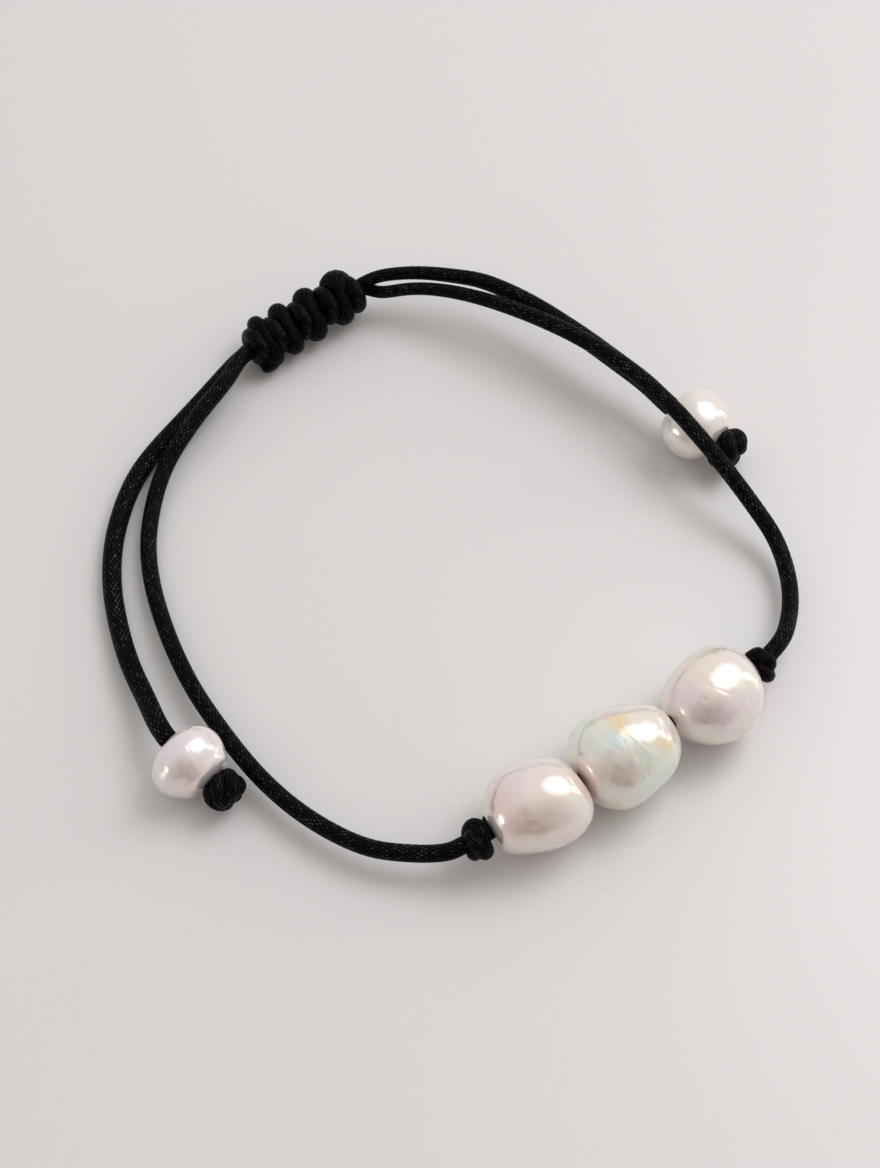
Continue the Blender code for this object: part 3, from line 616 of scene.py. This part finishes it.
# Strands
def strand_line(name, loop, way, tail, pearl):
    """Line, lengths and marks of a strand from inside its knot to the end of its pearl."""
    start, direction, length, _ = PEARLS[pearl]
    start, direction = np.array(start), unit(direction)
    points = [STARTS[name], EXITS[name], *loop, *way, *tail, start - direction * TAIL_GAP,
              start + direction * length / 2, start + direction * length]
    line, where, at = spline(points, RING_STEP)
    marks = {"in": at[2 + len(loop)], "out": at[1 + len(loop) + len(way)], "face": at[-3]}
    return line, where, marks


def way_through(side):
    """Points of one strand's way through the sliding knot."""
    up = (np.array(SLIDING_ACROSS) * math.cos(STACK_ANGLE)
          + np.array(SLIDING_UP) * math.sin(STACK_ANGLE))
    start = np.array(SLIDING_START) + up * side * STACK
    return [tuple(start + unit(SLIDING_DIRECTION) * SLIDING_LENGTH * share)
            for share in WAY_SHARES]


def strand_radii(name, where, marks):
    """Radius along a strand: pressed in the sliding knot, pulled thin to the right of it,
    thicker in the tail, and a thin core in the pearl."""
    tail_radius = TAIL_RADII[name]
    face = marks["face"]
    at = (0, marks["in"], marks["in"] + SQUEEZE_RUN, marks["out"] - SQUEEZE_RUN, marks["out"],
          marks["out"] + TAIL_SWELL_RUNS[name], face - TAIL_ROUND, face + TAIL_ROUND,
          face + TAIL_ROUND + CORE_STEP, where[-1])
    radii = (CORD_RADIUS, CORD_RADIUS, INNER_RADIUS, INNER_RADIUS, CORD_RADIUS, tail_radius,
             tail_radius, tail_radius * TAIL_ROUND_SHARE, CORE_RADIUS, CORE_RADIUS)
    # The right side comes after the knot on the left strand, and before it on the right strand
    beyond = where - marks["out"] if name == "left_strand" else marks["in"] - where
    thin = np.where(beyond < 0, 1.0, np.interp(beyond, THIN_RUNS, THIN_SHARES))
    return np.interp(where, at, radii) * thin


def pressed(line, radii, other, other_radii):
    """Way to the other strand, and the room that a strand has on that side."""
    toward, room = np.empty_like(line), np.empty(len(line))
    for i, point in enumerate(line):
        gaps = np.linalg.norm(other - point, axis=1)
        k = gaps.argmin()
        toward[i] = (other[k] - point) / gaps[k]
        room[i] = gaps[k] * radii[i] / (radii[i] + other_radii[k]) - PRESS_GAP
    return toward, room


def ring_line(centre, along, across, front, half_across, half_front, lean, count):
    """Closed line of one turn, and its angles; the lean moves its sides along the knot."""
    angle = np.arange(count) * math.tau / count - math.pi / 2
    return (np.asarray(centre) + np.outer(np.cos(angle) * half_across, across)
            + np.outer(np.sin(angle) * half_front, front)
            + np.outer(np.cos(angle) * half_across * math.tan(lean), along)), angle


def resample(line, closed=False):
    """Points of a line at even steps."""
    if closed:
        line = np.vstack([line, line[0]])
    at = np.concatenate([[0.0], np.cumsum(np.linalg.norm(np.diff(line, axis=0), axis=1))])
    count = max(8, int(at[-1] / RING_STEP))
    where = np.linspace(0, at[-1], count + 1)
    if closed:
        where = where[:-1]
    return np.stack([np.interp(where, at, line[:, k]) for k in range(3)], 1)


def knot_parts(near, far, axis, width, depth, radius, lobes, spin):
    """A tight knot: a torus knot of two turns round the cord that goes through."""
    near, far, axis = np.array(near), np.array(far), unit(axis)
    first = unit(VIEW_UP - axis * (VIEW_UP @ axis))
    second = np.cross(axis, first)
    t = np.linspace(0, KNOT_TURNS * math.tau, KNOT_POINTS, endpoint=False)
    swing = lobes * t / KNOT_TURNS
    reach = (width / 2 - radius) * (1 + KNOT_SWING * np.cos(swing)) / (1 + KNOT_SWING)
    angle = t + math.radians(spin)
    line = ((near + far) / 2 + np.outer(reach * np.cos(angle), first)
            + np.outer(reach * np.sin(angle), second)
            + np.outer((depth / 2 - radius) * np.sin(swing), axis))
    line = resample(line, closed=True)
    core = resample(np.array([near, (near + far) / 2, far]))
    return [braid(line, np.full(len(line), radius), True, sparkle=KNOT_SPARKLE),
            braid(core, np.full(len(core), CORE_RADIUS))]


def make_strands():
    """The two strands: loop, way through the sliding knot, tail and the way through a pearl."""
    lines = {
        "left_strand": strand_line("left_strand", LEFT_LOOP_ROUTE, way_through(1),
                                   RIGHT_TAIL_ROUTE, "tail_pearl_right"),
        "right_strand": strand_line("right_strand", RIGHT_LOOP_ROUTE, way_through(-1)[::-1],
                                    LEFT_TAIL_ROUTE, "tail_pearl_left"),
    }
    radii = {name: strand_radii(name, where, marks) for name, (_, where, marks) in lines.items()}
    strands = {}
    for name, other in (("left_strand", "right_strand"), ("right_strand", "left_strand")):
        line = lines[name][0]
        press = pressed(line, radii[name], lines[other][0], radii[other])
        piece = make_object(name + "_braid", [braid(line, radii[name], press=press)],
                            cord_material(name), name)
        strands[name] = (piece, line)
    return strands


def make_front_cord():
    """Thread through the three pearls, from knot to knot."""
    points = [KNOTS["knot_left"][0]]
    for name in ("pearl_left", "pearl_centre", "pearl_right"):
        start, direction, length, _ = PEARLS[name]
        points += [start, np.array(start) + unit(direction) * length]
    points.append(KNOTS["knot_right"][0])
    line = resample(spline(points, RING_STEP)[0])
    parts = [braid(line, np.full(len(line), CORE_RADIUS))]
    make_object("pearl_thread", parts, cord_material("front_cord"), "front_cord")


def make_knots():
    """Stopper knots beside the row and end knots behind the small pearls."""
    pieces = {}
    for name, shape in KNOTS.items():
        pieces[name] = make_object(name + "_wraps", knot_parts(*shape), cord_material(name), name)
    return pieces


def make_sliding_knot():
    """Flat row of wide and narrow turns round both strands, with one cut end."""
    along, start = unit(SLIDING_DIRECTION), np.array(SLIDING_START)
    across = unit(np.array(SLIDING_ACROSS) * math.cos(FACE_ANGLE)
                  + np.array(SLIDING_UP) * math.sin(FACE_ANGLE))
    front = np.cross(along, across)
    parts = []
    for place, lean, upper, lower in WIDE_TURNS:
        line, angle = ring_line(start + along * place, along, across, front,
                                WIDE_HALF, WIDE_FRONT, math.radians(lean), WIDE_POINTS)
        side = np.cos(angle)
        swell = np.where(side > 0, upper, lower)
        radii = WIDE_WAIST + np.abs(side) ** WIDE_SWELL_POWER * (swell - WIDE_WAIST)
        line = line - np.outer((swell - WIDE_INSET) * side, across)
        parts.append(braid(line, radii, True, sparkle=WIDE_TURN_SPARKLE))
    for place, lean, aside in NARROW_TURNS:
        line, _ = ring_line(start + along * place + across * aside, along, across, front,
                            NARROW_HALF, NARROW_FRONT, math.radians(lean), NARROW_POINTS)
        parts.append(braid(line, np.full(len(line), NARROW_RADIUS), True,
                           sparkle=NARROW_TURN_SPARKLE))
    tip = start + along * CUT_END_PLACE
    line = resample(np.array([tip - across * CUT_END_START, tip - across * CUT_END_REACH]))
    left = np.clip(np.linspace(1, 0, len(line)) / CUT_END_ROUND, CUT_END_LEAST, 1)
    radii = CUT_END_RADIUS * np.sqrt(1 - (1 - left) ** 2)
    parts.append(braid(line, radii, sparkle=CUT_END_SPARKLE))
    make_object("sliding_turns", parts, cord_material("sliding_knot"), "sliding_knot")


def pearl_outline(name):
    """Closed outline of a drilled pearl, and how many of its points are outside."""
    _, _, length, radius = PEARLS[name]
    outline = [(share * length, size * radius) for share, size in PROFILES[name]]
    outline[0] = (END_ROUND, outline[0][1])
    outline[-1] = (length - END_ROUND, outline[-1][1])
    ends = ((0.0, HOLE_RADIUS + END_ROUND), (length, HOLE_RADIUS + END_ROUND))
    outer = spline([ends[0], *outline, ends[1]], PEARL_ROW)[0]
    along, rim = ROUND_ALONG * END_ROUND, HOLE_RADIUS + ROUND_OUT * END_ROUND
    hole = [(length - along, rim), (length - END_ROUND, HOLE_RADIUS),
            (END_ROUND, HOLE_RADIUS), (along, rim)]
    return np.vstack([outer, hole]), len(outer)


def stand_out(name, way):
    """Height of a pearl over its turned form toward a way, smooth between the eight."""
    across, up = way[0], float(way @ VIEW_UP)
    place = (math.atan2(up, across) / math.tau * 8) % 8
    k, t = int(place), place % 1
    before, here, after, beyond = (STANDS_OUT[name][(k + d) % 8] for d in (-1, 0, 1, 2))
    rise = here + 0.5 * t * (after - before + t * (
        2 * before - 5 * here + 4 * after - beyond + t * (3 * (here - after) + beyond - before)))
    return rise * (across * across + up * up) ** 2


def make_pearl(name, material, seed, lump, dimple, fold):
    """Turned pearl with a drilled hole, slow lumps, small dimples and long folds."""
    start, direction, length, radius = PEARLS[name]
    ring, outside = pearl_outline(name)
    direction = unit(direction)
    first = unit(np.array((0.0, 0.0, 1.0)) - direction * direction[2])
    second = np.cross(direction, first)
    angle = np.arange(PEARL_AROUND) * math.tau / PEARL_AROUND
    spokes = np.outer(np.cos(angle), first) + np.outer(np.sin(angle), second)
    middle = np.array(start) + direction * length / 2
    shift = Vector((seed, 2 * seed, 3 * seed))
    points = []
    for k, (place, size) in enumerate(ring):
        hold = min(1.0, (size - HOLE_RADIUS) / HOLD_RUN) if k < outside else 0.0
        for spoke in spokes:
            way = unit(direction * (place - length / 2) + spoke * size)
            at = Vector(way)
            swell = stand_out(name, way) + lump * noise.noise(at * LUMP_RATE + shift)
            swell += dimple * noise.noise(at * DIMPLE_RATE + shift)
            drawn = Vector((way @ FOLD_WAY / FOLD_DRAWN, way @ FOLD_SIDE, way[2]))
            swell += fold * noise.noise(drawn * radius * FOLD_RATE + shift)
            points.append(middle + direction * (place - length / 2) + spoke * size
                          + way * swell * hold)
    points = np.array(points)
    points[:, 2] = np.maximum(points[:, 2], REST_HEIGHT)
    rows, around = len(ring), PEARL_AROUND
    faces = []
    for k in range(rows):
        row, after = k * around, (k + 1) % rows * around
        for j in range(around):
            beside = (j + 1) % around
            faces.append([row + j, after + j, after + beside, row + beside])
    counts = np.zeros((4 * len(faces), 3))
    return make_object(name + "_nacre", [(points, faces, counts)], material, name)


def make_pearls():
    """Five pearls, each of its own nacre."""
    pieces = {}
    for name, (slot, colours, creases, seed, lump, dimple, fold) in NACRE.items():
        shift = (0.01 * seed, 0.0, 0.003 * seed)
        material = nacre_material(name, "nacre_" + slot, *colours, creases, shift)
        pieces[name] = make_pearl(name, material, seed, lump, dimple, fold)
    return pieces


# Surroundings
def make_light(name, azimuth, elevation, distance, width, height, power, colour):
    """Area light aimed at the bracelet; angles in degrees, azimuth from +X toward +Y."""
    data = bpy.data.lights.new(name, "AREA")
    data.shape = "ELLIPSE"
    data.size, data.size_y = width, height
    data.energy = power
    data.color = colour
    light = bpy.data.objects.new(name, data)
    bpy.context.scene.collection.objects.link(light)
    azimuth, elevation = math.radians(azimuth), math.radians(elevation)
    away = Vector((math.cos(elevation) * math.cos(azimuth),
                   math.cos(elevation) * math.sin(azimuth), math.sin(elevation)))
    light.location = away * distance
    light.rotation_mode = "QUATERNION"
    light.rotation_quaternion = away.to_track_quat("Z", "Y")


def make_floor():
    """Plain pale surface under the bracelet."""
    s = Shader("pale_floor")
    tone = s.mix(s.noise(5.0, 1.0), FLOOR_DARKER, FLOOR_LIGHTER)
    s.set(Base_Color=tone, Roughness=s.spread(s.noise(60.0, 3.0), 0.1, 0.9, 0.24, 0.32))
    s.out.inputs["Specular IOR Level"].default_value = 0.45
    mesh = bpy.data.meshes.new("floor")
    corners = [(x * FLOOR_HALF, y * FLOOR_HALF, 0)
               for x, y in ((-1, -1), (1, -1), (1, 1), (-1, 1))]
    mesh.from_pydata(corners, [], [(0, 1, 2, 3)])
    mesh.materials.append(s.data)
    floor = bpy.data.objects.new("floor", mesh)
    bpy.context.scene.collection.objects.link(floor)


def make_world():
    """Soft grey room: light above, warmer in front, with dark patches in its middle."""
    s = Shader("studio", world=True)
    bpy.context.scene.world = s.data
    axes = s.add("ShaderNodeSeparateXYZ")
    s.link(s.place, axes.inputs[0])
    front = s.spread(axes.outputs["Y"], -0.2, -0.7)
    middle = s.spread(s.math("ABSOLUTE", axes.outputs["X"]), 0.7, 0.3)
    patches = s.spread(s.noise(5.0), 0.42, 0.58)
    tone = s.mix(front, ROOM_ABOVE, ROOM_FRONT)
    dark = s.mix(patches, ROOM_DARK, ROOM_WARM)
    s.set(Color=s.mix(s.math("MULTIPLY", front, middle), tone, dark), Strength=1.0)


def main():
    """The bracelet's pieces and what surrounds them."""
    make_camera()
    strands = make_strands()
    knots = make_knots()
    pearls = make_pearls()
    make_front_cord()
    make_sliding_knot()
    make_world()
    for name, light in LIGHTS.items():
        make_light(name, *light)
    make_floor()
    bpy.context.scene.view_settings.view_transform = "Standard"


main()
